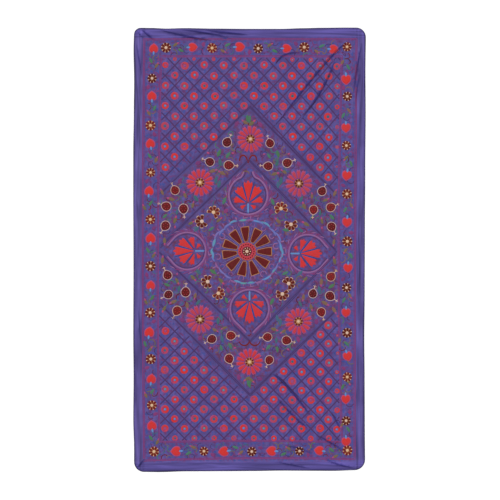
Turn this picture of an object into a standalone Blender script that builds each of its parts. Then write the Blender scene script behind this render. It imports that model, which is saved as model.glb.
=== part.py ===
"""A suzani: one embroidered cloth of violet silk, laid out flat with its face up.

Metres, +Z up. The origin is under the middle of the cloth, on the surface it lies on.
+X is to the right and +Y is to the top of the design. The cloth is one sheet. Its edges are
turned under, so that the plain margin is two layers thick, and long soft creases run in from
the corners, where the cloth was once pulled tight.
"""

import math

import bmesh
import bpy
from mathutils import Vector
from mathutils.geometry import delaunay_2d_cdt

# Driving sizes
WIDTH = 1.000
LENGTH = 1.910
CLOTH = 0.0015  # silk with its stitching, pressed flat
HEM_WIDTH = 0.043  # the turned edge, as wide as the plain margin
HEM_RISE = 0.0009  # what the turned layer adds
HEM_STEP = 0.005  # the slope from the margin down to the field
ROLL_WIDTH = 0.003  # the rounding of the turned edge
ROLL_EDGE = 0.0012  # height of the outermost edge
CORNER_RADIUS = {"top_left": 0.028, "top_right": 0.041, "bottom_right": 0.045, "bottom_left": 0.043}

# How the mesh is laid out
ARC_POINTS = 7  # along each rounded corner
SIDE_SPACING = 0.050  # between points along an edge
FIELD_SPACING = 0.075  # between points in the flat field
CREASE_SPACING = 0.036  # between points along a crease
CREASE_FEWEST = 5  # points along the shortest crease
CREASE_FULLNESS = 0.6  # below 1, a crease is near its full height for more of its length
NARROW_END = 0.25  # a crease's width at its ends, as a share of its width in the middle
SMALL_ARC = 0.004  # a corner rounder than this is drawn as an arc
CLEAR_OF_OTHERS = 0.018  # a field point keeps this far from every other point
SAME_POINT = 0.0015
SHARP_ANGLE = 40.0  # degrees: the shading breaks at folds steeper than this

# Each edge wanders inside the cloth's rectangle. share: how far along the edge, from the left or
# from the bottom. inset: how far in from the rectangle's side, in metres.
EDGES = {
    "left": [(0.00, 0.0036), (0.05, 0.0040), (0.12, 0.0004), (0.21, 0.0018), (0.30, 0.0004),
             (0.46, 0.0013), (0.63, 0.0002), (0.72, 0.0003), (0.81, 0.0028), (0.88, 0.0042),
             (0.95, 0.0017), (1.00, 0.0040)],
    "right": [(0.00, 0.0036), (0.12, 0.0050), (0.21, 0.0056), (0.30, 0.0070), (0.41, 0.0053),
              (0.54, 0.0044), (0.68, 0.0029), (0.81, 0.0012), (0.90, 0.0021), (1.00, 0.0002)],
    "bottom": [(0.00, 0.0010), (0.07, 0.0002), (0.20, 0.0034), (0.39, 0.0041), (0.52, 0.0049),
               (0.65, 0.0065), (0.78, 0.0059), (0.90, 0.0054), (1.00, 0.0090)],
    "top": [(0.00, 0.0014), (0.05, 0.0020), (0.12, 0.0046), (0.20, 0.0025), (0.35, 0.0047),
            (0.50, 0.0058), (0.65, 0.0059), (0.75, 0.0030), (0.84, 0.0012), (0.95, 0.0002),
            (1.00, 0.0004)],
}

# Each crease is a soft ridge along a gentle bend, highest in its middle and gone at its ends.
CREASE_COLUMNS = ("start_x", "start_y", "bend_x", "bend_y", "end_x", "end_y", "height", "half_width")
CREASES = [
    # from the top right corner down across the field
    (0.422, 0.897, 0.302, 0.776, 0.108, 0.530, 0.0052, 0.0080),
    (0.369, 0.826, 0.310, 0.690, 0.215, 0.555, 0.0052, 0.0080),
    (0.228, 0.846, 0.150, 0.838, 0.110, 0.792, 0.0040, 0.0065),
    # down the right margin
    (0.483, 0.892, 0.462, 0.785, 0.444, 0.655, 0.0040, 0.0060),
    (0.474, 0.765, 0.463, 0.700, 0.455, 0.620, 0.0032, 0.0055),
    # along the top margin from the left corner
    (-0.465, 0.947, -0.441, 0.927, -0.413, 0.903, 0.0044, 0.0065),
    (-0.484, 0.940, -0.471, 0.926, -0.459, 0.911, 0.0036, 0.0055),
    (-0.388, 0.946, -0.272, 0.918, -0.165, 0.900, 0.0050, 0.0070),
    (-0.296, 0.947, -0.179, 0.930, -0.075, 0.908, 0.0044, 0.0065),
    (-0.198, 0.945, -0.093, 0.932, -0.002, 0.925, 0.0046, 0.0070),
    # down the left margin
    (-0.488, 0.893, -0.475, 0.816, -0.462, 0.738, 0.0030, 0.0055),
    (-0.481, -0.229, -0.472, -0.336, -0.463, -0.443, 0.0026, 0.0055),
    # at the bottom right, towards the corner
    (0.092, -0.528, 0.160, -0.585, 0.272, -0.725, 0.0052, 0.0080),
    (0.108, -0.622, 0.180, -0.705, 0.258, -0.772, 0.0042, 0.0070),
    (0.348, -0.700, 0.372, -0.735, 0.388, -0.775, 0.0038, 0.0060),
    (0.292, -0.795, 0.345, -0.826, 0.412, -0.866, 0.0040, 0.0065),
    (0.325, -0.900, 0.384, -0.922, 0.452, -0.937, 0.0042, 0.0065),
    (0.109, -0.908, 0.187, -0.925, 0.264, -0.939, 0.0034, 0.0060),
    (0.140, -0.842, 0.205, -0.850, 0.280, -0.880, 0.0032, 0.0060),
    # the gather at the bottom left corner
    (-0.487, -0.938, -0.470, -0.921, -0.452, -0.896, 0.0042, 0.0060),
]
# Where points lie across a crease, in half widths from its crest
CREASE_ACROSS = (-1.0, -0.45, 0.0, 0.45, 1.0)

CLOTH_COLOUR = (0.088, 0.066, 0.224, 1.0)
CLOTH_ROUGHNESS = 0.62


def clear_scene():
    for old in list(bpy.data.objects):
        bpy.data.objects.remove(old, do_unlink=True)


def eased(share):
    """A smooth rise from 0 to 1."""
    share = min(1.0, max(0.0, share))
    return share * share * (3.0 - 2.0 * share)


def inset_of(edge, share):
    """How far an edge lies inside the rectangle, at a share of its length."""
    stations = EDGES[edge]
    for (low, low_inset), (high, high_inset) in zip(stations, stations[1:]):
        if share <= high:
            part = eased((share - low) / (high - low))
            return low_inset + (high_inset - low_inset) * part
    return stations[-1][1]


def edge_point(edge, share, inset):
    """The point at a share of an edge, moved inset towards the middle of the cloth."""
    along_x = (share - 0.5) * WIDTH
    along_y = (share - 0.5) * LENGTH
    wander = inset_of(edge, share) + inset
    places = {
        "bottom": (along_x, -LENGTH / 2 + wander),
        "right": (WIDTH / 2 - wander, along_y),
        "top": (along_x, LENGTH / 2 - wander),
        "left": (-WIDTH / 2 + wander, along_y),
    }
    return Vector(places[edge])


def corner_arc(corner, inset):
    """The rounded corner at this inset, anticlockwise."""
    vertical, side = corner.split("_")
    radius = CORNER_RADIUS[corner]
    out_x = 1.0 if side == "right" else -1.0
    out_y = 1.0 if vertical == "top" else -1.0
    share_x = 0.5 + out_x * (0.5 - radius / WIDTH)
    share_y = 0.5 + out_y * (0.5 - radius / LENGTH)
    centre_x = edge_point(side, share_y, radius).x
    centre_y = edge_point(vertical, share_x, radius).y
    drawn = radius - inset
    if drawn < SMALL_ARC:
        return [Vector((centre_x + out_x * drawn, centre_y + out_y * drawn))]
    first = {"bottom_right": -90.0, "top_right": 0.0, "top_left": 90.0, "bottom_left": 180.0}[corner]
    points = []
    for step in range(ARC_POINTS):
        angle = math.radians(first + 90.0 * step / (ARC_POINTS - 1))
        x = centre_x + drawn * math.cos(angle)
        y = centre_y + drawn * math.sin(angle)
        points.append(Vector((x, y)))
    return points


def side_run(edge, first_corner, last_corner, inset):
    """The points of an edge between two rounded corners, anticlockwise."""
    length = WIDTH if edge in ("bottom", "top") else LENGTH
    low, high = CORNER_RADIUS[first_corner] / length, 1.0 - CORNER_RADIUS[last_corner] / length
    if edge in ("top", "left"):
        low, high = 1.0 - low, 1.0 - high
    count = max(2, round(abs(high - low) * length / SIDE_SPACING))
    return [edge_point(edge, low + (high - low) * n / count, inset) for n in range(1, count)]


def outline(inset):
    """The cloth's outline moved in by inset, as a closed anticlockwise loop."""
    loop = []
    loop += side_run("bottom", "bottom_left", "bottom_right", inset)
    loop += corner_arc("bottom_right", inset)
    loop += side_run("right", "bottom_right", "top_right", inset)
    loop += corner_arc("top_right", inset)
    loop += side_run("top", "top_right", "top_left", inset)
    loop += corner_arc("top_left", inset)
    loop += side_run("left", "top_left", "bottom_left", inset)
    loop += corner_arc("bottom_left", inset)
    return loop


class Crease:
    """One crease: a bend from start to end, and the ridge along it."""

    def __init__(self, row):
        named = dict(zip(CREASE_COLUMNS, row))
        self.start = Vector((named["start_x"], named["start_y"]))
        self.end = Vector((named["end_x"], named["end_y"]))
        middle = Vector((named["bend_x"], named["bend_y"]))
        self.handle = middle * 2.0 - (self.start + self.end) * 0.5
        self.height = named["height"]
        self.half_width = named["half_width"]
        length = (middle - self.start).length + (self.end - middle).length
        self.steps = max(CREASE_FEWEST - 1, round(length / CREASE_SPACING))

    def place(self, t):
        return self.start * (1 - t) ** 2 + self.handle * 2 * t * (1 - t) + self.end * t**2

    def swell(self, t):
        """A rise from 0 at the crease's start to 1 in its middle, and back to 0 at its end."""
        return max(0.0, math.sin(math.pi * t)) ** CREASE_FULLNESS

    def width(self, t):
        return self.half_width * (NARROW_END + (1 - NARROW_END) * self.swell(t))

    def line(self, across):
        """Points along the crease, moved sideways by a number of its half widths."""
        points = []
        for step in range(self.steps + 1):
            t = step / self.steps
            along = (self.handle - self.start) * (1 - t) + (self.end - self.handle) * t
            sideways = Vector((-along.y, along.x)).normalized()
            points.append(self.place(t) + sideways * across * self.width(t))
        return points

    def lift(self, point):
        """How high the crease lifts the cloth at a point."""
        best_distance, best_t = math.inf, 0.0
        for step in range(self.steps):
            first, second = self.place(step / self.steps), self.place((step + 1) / self.steps)
            span = second - first
            part = min(1.0, max(0.0, (point - first).dot(span) / span.length_squared))
            distance = (point - first - span * part).length
            if distance < best_distance:
                best_distance, best_t = distance, (step + part) / self.steps
        nearness = 1.0 - best_distance / self.width(best_t)
        return self.height * self.swell(best_t) * eased(nearness)


def draw_layout(creases):
    """The flat points and lines of the cloth: outline, hem, creases and a sparse field."""
    points, edges = [], []

    def add_line(line, closed):
        first, count = len(points), len(line)
        points.extend(line)
        last = count if closed else count - 1
        edges.extend((first + n, first + (n + 1) % count) for n in range(last))

    for inset in (0.0, ROLL_WIDTH, HEM_WIDTH - HEM_STEP, HEM_WIDTH):
        add_line(outline(inset), closed=True)
    for crease in creases:
        for across in CREASE_ACROSS:
            add_line(crease.line(across), closed=False)
    field_width, field_length = WIDTH - 2 * HEM_WIDTH, LENGTH - 2 * HEM_WIDTH
    across_count, along_count = round(field_width / FIELD_SPACING), round(field_length / FIELD_SPACING)
    for row in range(1, along_count):
        for column in range(1, across_count):
            x = (column / across_count - 0.5) * field_width
            y = (row / along_count - 0.5) * field_length
            point = Vector((x, y))
            if min((other - point).length for other in points) > CLEAR_OF_OTHERS:
                points.append(point)
    return points, edges


def edge_distance(point):
    """How far a point is from the cloth's edge, near enough for the hem's height."""
    share_x = point.x / WIDTH + 0.5
    share_y = point.y / LENGTH + 0.5
    gaps = {
        "left": point.x + WIDTH / 2 - inset_of("left", share_y),
        "right": WIDTH / 2 - point.x - inset_of("right", share_y),
        "bottom": point.y + LENGTH / 2 - inset_of("bottom", share_x),
        "top": LENGTH / 2 - point.y - inset_of("top", share_x),
    }
    for corner, radius in CORNER_RADIUS.items():
        vertical, side = corner.split("_")
        if gaps[vertical] < radius and gaps[side] < radius:
            return radius - math.hypot(radius - gaps[vertical], radius - gaps[side])
    return min(gaps.values())


def thickness_at(point):
    """The cloth's thickness: rounded at the edge, double in the margin and single in the field."""
    distance = edge_distance(point)
    hem = CLOTH + HEM_RISE
    if distance < ROLL_WIDTH:
        return ROLL_EDGE + (hem - ROLL_EDGE) * eased(distance / ROLL_WIDTH)
    return hem - HEM_RISE * eased((distance - HEM_WIDTH + HEM_STEP) / HEM_STEP)


def make_cloth(material):
    """The cloth's solid: its layout as triangles, raised along the creases and given its thickness."""
    creases = [Crease(row) for row in CREASES]
    points, edges = draw_layout(creases)
    inside_outline = 1
    places, _, triangles = delaunay_2d_cdt(points, edges, [], inside_outline, SAME_POINT)[:3]
    bm = bmesh.new()
    underside = [bm.verts.new((place.x, place.y, 0.0)) for place in places]
    for corners in triangles:
        bm.faces.new([underside[n] for n in corners])
    raised = bmesh.ops.extrude_face_region(bm, geom=bm.faces[:])["geom"]
    face_up = [element for element in raised if isinstance(element, bmesh.types.BMVert)]
    for vertex in bm.verts:
        vertex.co.z = math.hypot(*[crease.lift(vertex.co.xy) for crease in creases])
    for vertex in face_up:
        vertex.co.z += thickness_at(vertex.co.xy)
    bmesh.ops.recalc_face_normals(bm, faces=bm.faces[:])
    mesh = bpy.data.meshes.new("suzani_cloth")
    bm.to_mesh(mesh)
    bm.free()
    mesh.materials.append(material)
    mesh.shade_smooth()
    mesh.set_sharp_from_angle(angle=math.radians(SHARP_ANGLE))
    cloth = bpy.data.objects.new("suzani_cloth", mesh)
    bpy.context.scene.collection.objects.link(cloth)


def silk_material():
    material = bpy.data.materials.new("violet_silk")
    material.use_nodes = True
    shader = material.node_tree.nodes["Principled BSDF"]
    shader.inputs["Base Color"].default_value = CLOTH_COLOUR
    shader.inputs["Roughness"].default_value = CLOTH_ROUGHNESS
    shader.inputs["Metallic"].default_value = 0.0
    return material


clear_scene()
make_cloth(silk_material())
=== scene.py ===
"""The look of a suzani: violet silk with chain-stitched rings, flowers and fruit, laid out flat."""

import math

import bmesh
import bpy
import numpy as np
from mathutils import Matrix, Vector


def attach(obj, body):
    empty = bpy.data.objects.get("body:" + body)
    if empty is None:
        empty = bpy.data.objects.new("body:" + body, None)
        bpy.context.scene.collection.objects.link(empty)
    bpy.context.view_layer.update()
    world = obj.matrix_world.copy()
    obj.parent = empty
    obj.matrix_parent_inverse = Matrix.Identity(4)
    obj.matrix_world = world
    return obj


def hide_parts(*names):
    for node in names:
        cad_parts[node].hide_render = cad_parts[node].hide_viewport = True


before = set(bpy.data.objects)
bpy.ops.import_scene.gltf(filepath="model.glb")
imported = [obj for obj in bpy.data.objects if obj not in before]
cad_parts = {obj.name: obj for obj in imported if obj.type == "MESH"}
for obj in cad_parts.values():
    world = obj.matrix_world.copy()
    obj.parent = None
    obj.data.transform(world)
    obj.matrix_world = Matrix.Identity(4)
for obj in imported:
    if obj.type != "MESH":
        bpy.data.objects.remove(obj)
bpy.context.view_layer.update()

hand = np.random.default_rng(11)  # the small differences of work done by hand


# The ground is one long piece of violet silk. Its edges are turned under all round, so that the
# plain margin is double and its outer edge rolls over. Soft creases run in from the corners.
WIDTH = 1.000
LENGTH = 1.910
CLOTH = 0.0015
HEM_WIDTH = 0.043
HEM_RISE = 0.0009
HEM_STEP = 0.005
ROLL_WIDTH = 0.003
ROLL_EDGE = 0.0012
CORNER_RADIUS = {"top_left": 0.028, "top_right": 0.041, "bottom_right": 0.045, "bottom_left": 0.043}
# How far each edge lies inside the rectangle, from the left or from the bottom: share, inset
EDGES = {
    "left": [(0.00, 0.0036), (0.05, 0.0040), (0.12, 0.0004), (0.21, 0.0018), (0.30, 0.0004),
             (0.46, 0.0013), (0.63, 0.0002), (0.72, 0.0003), (0.81, 0.0028), (0.88, 0.0042),
             (0.95, 0.0017), (1.00, 0.0040)],
    "right": [(0.00, 0.0036), (0.12, 0.0050), (0.21, 0.0056), (0.30, 0.0070), (0.41, 0.0053),
              (0.54, 0.0044), (0.68, 0.0029), (0.81, 0.0012), (0.90, 0.0021), (1.00, 0.0002)],
    "bottom": [(0.00, 0.0010), (0.07, 0.0002), (0.20, 0.0034), (0.39, 0.0041), (0.52, 0.0049),
               (0.65, 0.0065), (0.78, 0.0059), (0.90, 0.0054), (1.00, 0.0090)],
    "top": [(0.00, 0.0014), (0.05, 0.0020), (0.12, 0.0046), (0.20, 0.0025), (0.35, 0.0047),
            (0.50, 0.0058), (0.65, 0.0059), (0.75, 0.0030), (0.84, 0.0012), (0.95, 0.0002),
            (1.00, 0.0004)],
}
# the creases: where each starts, bends and ends, how high it is and half its width
CREASES = [
    # from the top right corner down across the field
    ((0.422, 0.897), (0.302, 0.776), (0.108, 0.530), 0.0052, 0.0080),
    ((0.369, 0.826), (0.310, 0.690), (0.215, 0.555), 0.0052, 0.0080),
    ((0.228, 0.846), (0.150, 0.838), (0.110, 0.792), 0.0040, 0.0065),
    # down the right margin
    ((0.483, 0.892), (0.462, 0.785), (0.444, 0.655), 0.0040, 0.0060),
    ((0.474, 0.765), (0.463, 0.700), (0.455, 0.620), 0.0032, 0.0055),
    # along the top margin from the left corner
    ((-0.465, 0.947), (-0.441, 0.927), (-0.413, 0.903), 0.0044, 0.0065),
    ((-0.484, 0.940), (-0.471, 0.926), (-0.459, 0.911), 0.0036, 0.0055),
    ((-0.388, 0.946), (-0.272, 0.918), (-0.165, 0.900), 0.0050, 0.0070),
    ((-0.296, 0.947), (-0.179, 0.930), (-0.075, 0.908), 0.0044, 0.0065),
    ((-0.198, 0.945), (-0.093, 0.932), (-0.002, 0.925), 0.0046, 0.0070),
    # down the left margin
    ((-0.488, 0.893), (-0.475, 0.816), (-0.462, 0.738), 0.0030, 0.0055),
    ((-0.481, -0.229), (-0.472, -0.336), (-0.463, -0.443), 0.0026, 0.0055),
    # at the bottom right, towards the corner
    ((0.092, -0.528), (0.160, -0.585), (0.272, -0.725), 0.0052, 0.0080),
    ((0.108, -0.622), (0.180, -0.705), (0.258, -0.772), 0.0042, 0.0070),
    ((0.348, -0.700), (0.372, -0.735), (0.388, -0.775), 0.0038, 0.0060),
    ((0.292, -0.795), (0.345, -0.826), (0.412, -0.866), 0.0040, 0.0065),
    ((0.325, -0.900), (0.384, -0.922), (0.452, -0.937), 0.0042, 0.0065),
    ((0.109, -0.908), (0.187, -0.925), (0.264, -0.939), 0.0034, 0.0060),
    ((0.140, -0.842), (0.205, -0.850), (0.280, -0.880), 0.0032, 0.0060),
    # the gather at the bottom left corner
    ((-0.487, -0.938), (-0.470, -0.921), (-0.452, -0.896), 0.0042, 0.0060),
]
CREASE_STEPS = 28  # straight steps that a crease's bend is measured by
CREASE_FULLNESS = 0.6
NARROW_END = 0.25
CREASE_CUTS = 4  # how finely the mesh is cut over a crease
SILK_SPACING = 0.0090  # between the rows of the mesh
EDGE_SPACING = 0.0005  # the first row in from the edge; the next ones widen
WIDENING_ROWS = 7
SHARP_EDGE = 50  # degrees
# The corners of the inner diamond, and of the outer diamond's upper and lower halves
INNER_DIAMOND = [(-0.397, -0.001), (-0.002, 0.386), (0.377, -0.009), (0.002, -0.394), (-0.397, -0.001)]
UPPER_DIAMOND = [(-0.393, 0.231), (0.002, 0.614), (0.387, 0.223)]
LOWER_DIAMOND = [(-0.393, -0.224), (0.002, -0.624), (0.387, -0.246)]
STRIP_HALF = 0.019  # the silk is plain and dark this far on each side of the diamonds' edges
ROLLED_REACH = 0.0085  # how far in from the edge the painted shade of the roll reaches
CREASE_SHADED = 0.0034  # a crease this high gets the full painted shade
WEAVE_CLOSENESS = 900.0
WEAVE_SHARE = 0.35  # of the weave's relief against that of the slubs
SLUB_CLOSENESS = (14.0, 420.0, 1.0)
STREAK_CLOSENESS = (70.0, 3.0, 1.0)
FADING_CLOSENESS = 9.0
FADED = (0.15, 0.38)  # the noise at which the dye starts to fade and is wholly faded
SILK_COLOUR = (0.074, 0.055, 0.196, 1.0)
SILK_LIGHT = (0.101, 0.078, 0.256, 1.0)
SILK_PLUM = (0.115, 0.034, 0.135, 1.0)
SILK_BLUE = (0.045, 0.062, 0.245, 1.0)
SILK_AT_ENDS = (0.0845, 0.0650, 0.250, 1.0)
SILK_WINE = (0.112, 0.035, 0.092, 1.0)
# the dye's casts: where, which colour, how close the patches are, and the noise they start and end at
CASTS = [
    ("field", SILK_PLUM, 62.0, 0.48, 0.66),
    ("field", SILK_BLUE, 80.0, 0.50, 0.66),
    ("diamond", SILK_WINE, 52.0, 0.44, 0.66),
]
CAST_SHIFT = (3.1, 1.7)  # each cast's patches lie this much further along than the last one's
# painted shade along the creases: the dark colour that the silk's colour is mixed towards where it is
# creased
PAINTED_CREASE_SHADE = (0.026, 0.020, 0.128, 1.0)
CREASE_SHADE_SHARE = 0.92  # how much a full crease takes of the painted crease shade in place of the silk's colour
DARKER = [("rolled_edge_shade", -0.70), ("strip", -0.21)]  # where the silk's colour is made darker, and how much: painted shade on the rolled edge, and a darker tone on the plain strips
# where wrinkles lie, how closely across and along, how deep, and how strongly they put painted shade and
# light in the silk's colour
WRINKLES = [
    ("side_margin", (62.0, 4.0, 1.0), 0.0070, 2.1),
    ("end_margin", (4.0, 62.0, 1.0), 0.0070, 2.1),
    ("field", (52.0, 46.0, 1.0), 0.0024, 0.8),
]
SHADER_COLUMN = 3000  # the shaders stand this far to the right of their first nodes


def eased(share):
    """A smooth rise from 0 to 1."""
    share = np.clip(share, 0.0, 1.0)
    return share * share * (3.0 - 2.0 * share)


def inset_of(edge, share):
    """How far an edge lies inside the rectangle, at shares of its length."""
    stops, insets = np.transpose(EDGES[edge])
    after = np.clip(np.searchsorted(stops, share), 1, len(stops) - 1)
    part = eased((share - stops[after - 1]) / (stops[after] - stops[after - 1]))
    return insets[after - 1] + (insets[after] - insets[after - 1]) * part


def edge_gaps(x, y):
    """How far places are from each of the four edges."""
    return {
        "left": x + WIDTH / 2 - inset_of("left", y / LENGTH + 0.5),
        "right": WIDTH / 2 - x - inset_of("right", y / LENGTH + 0.5),
        "bottom": y + LENGTH / 2 - inset_of("bottom", x / WIDTH + 0.5),
        "top": LENGTH / 2 - y - inset_of("top", x / WIDTH + 0.5),
    }


def edge_distance(x, y):
    """How far places are from the cloth's edge, round its corners too."""
    gaps = edge_gaps(x, y)
    distance = np.minimum.reduce(list(gaps.values()))
    for corner, radius in CORNER_RADIUS.items():
        vertical, side = (gaps[edge] for edge in corner.split("_"))
        rounded = radius - np.hypot(radius - vertical, radius - side)
        distance = np.where((vertical < radius) & (side < radius), rounded, distance)
    return distance


def nearest_on_line(line, x, y):
    """How far places are from a line through points, and how many of its steps along they lie."""
    nearest, steps_along = np.full(len(x), np.inf), np.zeros(len(x))
    for n, (first, second) in enumerate(zip(line, line[1:])):
        span_x, span_y = np.subtract(second, first)
        from_x, from_y = x - first[0], y - first[1]
        part = np.clip((from_x * span_x + from_y * span_y) / (span_x**2 + span_y**2), 0, 1)
        gap = np.hypot(from_x - span_x * part, from_y - span_y * part)
        steps_along = np.where(gap < nearest, n + part, steps_along)
        nearest = np.minimum(nearest, gap)
    return nearest, steps_along


def cloth_lift(x, y):
    """How high the creases lift the cloth."""
    total = np.zeros_like(x)
    share = np.linspace(0.0, 1.0, CREASE_STEPS + 1)[:, None]
    for *places, height, half_width in CREASES:
        start, bend, end = np.array(places)
        handle = 2.0 * bend - (start + end) / 2
        line = start * (1 - share) ** 2 + handle * 2 * share * (1 - share) + end * share**2
        low, high = line.min(axis=0) - half_width, line.max(axis=0) + half_width
        near = np.flatnonzero((x > low[0]) & (x < high[0]) & (y > low[1]) & (y < high[1]))
        gap, steps_along = nearest_on_line(line, x[near], y[near])
        swell = np.maximum(0.0, np.sin(np.pi * steps_along / CREASE_STEPS)) ** CREASE_FULLNESS
        width = half_width * (NARROW_END + (1 - NARROW_END) * swell)
        total[near] = np.hypot(total[near], height * swell * eased(1.0 - gap / width))
    return total


def cloth_thickness(x, y):
    """The cloth is rounded at the edge, double in the margin and single in the field."""
    distance = edge_distance(x, y)
    hem = CLOTH + HEM_RISE
    rolled = ROLL_EDGE + (hem - ROLL_EDGE) * eased(distance / ROLL_WIDTH)
    inner = hem - HEM_RISE * eased((distance - HEM_WIDTH + HEM_STEP) / HEM_STEP)
    return np.where(distance < ROLL_WIDTH, rolled, inner)


def row_places(length):
    """Places from 0 to length, close together near both ends and evenly spread between."""
    close = [EDGE_SPACING * k * k for k in range(WIDENING_ROWS)]
    middle = length - 2 * close[-1]
    count = round(middle / SILK_SPACING)
    even = [close[-1] + middle * k / count for k in range(1, count)]
    return np.array(close + even + [length - place for place in reversed(close)])


columns, rows = row_places(WIDTH), row_places(LENGTH)
silk = bmesh.new()
bmesh.ops.create_grid(silk, x_segments=len(columns) - 1, y_segments=len(rows) - 1, size=0.5)
shares = np.array([vertex.co[:2] for vertex in silk.verts]) + 0.5
share_x = columns[np.rint(shares[:, 0] * (len(columns) - 1)).astype(int)] / WIDTH
share_y = rows[np.rint(shares[:, 1] * (len(rows) - 1)).astype(int)] / LENGTH
bottom = -LENGTH / 2 + inset_of("bottom", share_x)
top = LENGTH / 2 - inset_of("top", share_x)
place_y = bottom + (top - bottom) * share_y
side_x = {}
for side, sign in (("left", -1.0), ("right", 1.0)):
    drawn_in = inset_of(side, place_y / LENGTH + 0.5)
    for vertical, gap in (("top", top - place_y), ("bottom", place_y - bottom)):
        radius = CORNER_RADIUS[f"{vertical}_{side}"]
        rest = np.clip(radius - gap, 0.0, radius)
        drawn_in = drawn_in + radius - np.sqrt(radius**2 - rest**2)
    side_x[side] = sign * (WIDTH / 2 - drawn_in)
place_x = side_x["left"] + (side_x["right"] - side_x["left"]) * share_x
for vertex, x, y in zip(silk.verts, place_x, place_y):
    vertex.co = (x, y, 0.0)
middles = np.array([(edge.verts[0].co.xy + edge.verts[1].co.xy)[:] for edge in silk.edges]) / 2
on_crease = cloth_lift(middles[:, 0], middles[:, 1]) > 0.0
creased_edges = [edge for edge, is_creased in zip(silk.edges, on_crease) if is_creased]
bmesh.ops.subdivide_edges(silk, edges=creased_edges, cuts=CREASE_CUTS, use_grid_fill=True)
many_sided = [face for face in silk.faces if len(face.verts) > 4]
bmesh.ops.triangulate(silk, faces=many_sided)
raised = bmesh.ops.extrude_face_region(silk, geom=silk.faces[:])["geom"]
face_up = {element for element in raised if isinstance(element, bmesh.types.BMVert)}
flat_x, flat_y = np.array([vertex.co[:2] for vertex in silk.verts]).T
lifts, thicknesses = cloth_lift(flat_x, flat_y), cloth_thickness(flat_x, flat_y)
for vertex, lift, thickness in zip(silk.verts, lifts, thicknesses):
    vertex.co.z = lift + (thickness if vertex in face_up else 0.0)
bmesh.ops.recalc_face_normals(silk, faces=silk.faces[:])
silk_mesh = bpy.data.meshes.new("silk_ground")
silk.to_mesh(silk_mesh)
silk.free()
silk_mesh.shade_smooth()
silk_mesh.set_sharp_from_angle(angle=math.radians(SHARP_EDGE))

# Where the silk is margin, beside the long edges or along the ends, where it is the worked field, the
# strips along the diamonds' edges, and where it rolls over or is creased, which both get painted shade
gaps = edge_gaps(flat_x, flat_y)
nearer = np.array([np.minimum(gaps[a], gaps[b]) for a, b in (("left", "right"), ("top", "bottom"))])
side_margin, end_margin = 1.0 - eased((nearer - HEM_WIDTH + HEM_STEP) / (2 * HEM_STEP))
strip_gap = np.minimum.reduce([
    nearest_on_line(line, flat_x, flat_y)[0] for line in (INNER_DIAMOND, UPPER_DIAMOND, LOWER_DIAMOND)
])
in_field = 1.0 - np.maximum(side_margin, end_margin)
strip = in_field * (1.0 - eased(strip_gap / STRIP_HALF))
above = flat_y - np.interp(flat_x, *np.transpose(UPPER_DIAMOND))
below = np.interp(flat_x, *np.transpose(LOWER_DIAMOND)) - flat_y
outside_diamond = np.maximum(np.maximum(above, below), np.abs(flat_x) - UPPER_DIAMOND[2][0])
areas = {
    "side_margin": side_margin,
    "end_margin": end_margin,
    "field": in_field - strip,
    "diamond": (in_field - strip) * eased(-outside_diamond / STRIP_HALF),
    "strip": strip,
    # painted shade where the edge rolls over
    "rolled_edge_shade": 1.0 - eased(edge_distance(flat_x, flat_y) / ROLLED_REACH),
    "creased": eased(lifts / CREASE_SHADED),
}


def mark_areas(mesh, marks):
    """Gives each corner of a mesh its values, for the materials to read."""
    for name, values in marks.items():
        mesh.attributes.new(name, "FLOAT", "POINT").data.foreach_set("value", values.astype(np.float32))


mark_areas(silk_mesh, areas)


class Wiring:
    """Adds shader nodes that are linked as they are added. A value is a number, a colour or an output."""

    def __init__(self, tree):
        self.tree = tree

    def fill(self, socket, value):
        if isinstance(value, bpy.types.NodeSocket):
            self.tree.links.new(value, socket)
        else:
            socket.default_value = value

    def add(self, kind, inputs=None, **settings):
        """A node, in a column to the right of those that feed it. Gives its outputs."""
        inputs = inputs or {}
        feeding = [value.node.location.x for value in inputs.values()
                   if isinstance(value, bpy.types.NodeSocket)]
        column = max(feeding, default=-200) + 200
        above = sum(other.location.x == column for other in self.tree.nodes)
        node = self.tree.nodes.new(kind)
        node.location = (column, -180 * above)
        for name, value in settings.items():
            setattr(node, name, value)
        for name, value in inputs.items():
            self.fill(node.inputs[name], value)
        return node.outputs

    def maths(self, operation, *values):
        return self.add("ShaderNodeMath", dict(enumerate(values)), operation=operation)[0]

    def stretch(self, place, scale=(1.0, 1.0, 1.0), shift=(0.0, 0.0, 0.0)):
        return self.add("ShaderNodeMapping", {"Vector": place, "Scale": scale, "Location": shift})[0]

    def noise(self, place, scale=1.0, detail=2.0, distortion=0.0):
        inputs = {"Vector": place, "Scale": scale, "Detail": detail, "Distortion": distortion}
        return self.add("ShaderNodeTexNoise", inputs)["Fac"]

    def between(self, value, low, high):
        """The share of the way from low to high."""
        return self.add("ShaderNodeMapRange", {"Value": value, 1: low, 2: high})[0]

    def area(self, name):
        return self.add("ShaderNodeAttribute", attribute_name=name)["Fac"]

    def mix(self, share, first, second, blend_type="MIX"):
        inputs = {"Factor": share, "A": first, "B": second}
        return self.add("ShaderNodeMix", inputs, data_type="RGBA", blend_type=blend_type)["Result"]

    def bump(self, height, strength, distance, **inputs):
        inputs |= {"Height": height, "Strength": strength, "Distance": distance}
        return self.add("ShaderNodeBump", inputs)["Normal"]


def start_group(name, inputs):
    """A shader group with named inputs, vectors where no number is given. Gives its wiring and inputs."""
    group = bpy.data.node_groups.new(name, "ShaderNodeTree")
    for label, number in inputs.items():
        kind = "NodeSocketVector" if number is None else "NodeSocketFloat"
        socket = group.interface.new_socket(label, in_out="INPUT", socket_type=kind)
        if number is not None:
            socket.default_value = number
    wiring = Wiring(group)
    return wiring, wiring.add("NodeGroupInput")


def end_group(wiring, outputs):
    """Gives a group its named outputs."""
    for label in outputs:
        wiring.tree.interface.new_socket(label, in_out="OUTPUT", socket_type="NodeSocketFloat")
    wiring.add("NodeGroupOutput", outputs)
    return wiring.tree


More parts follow.
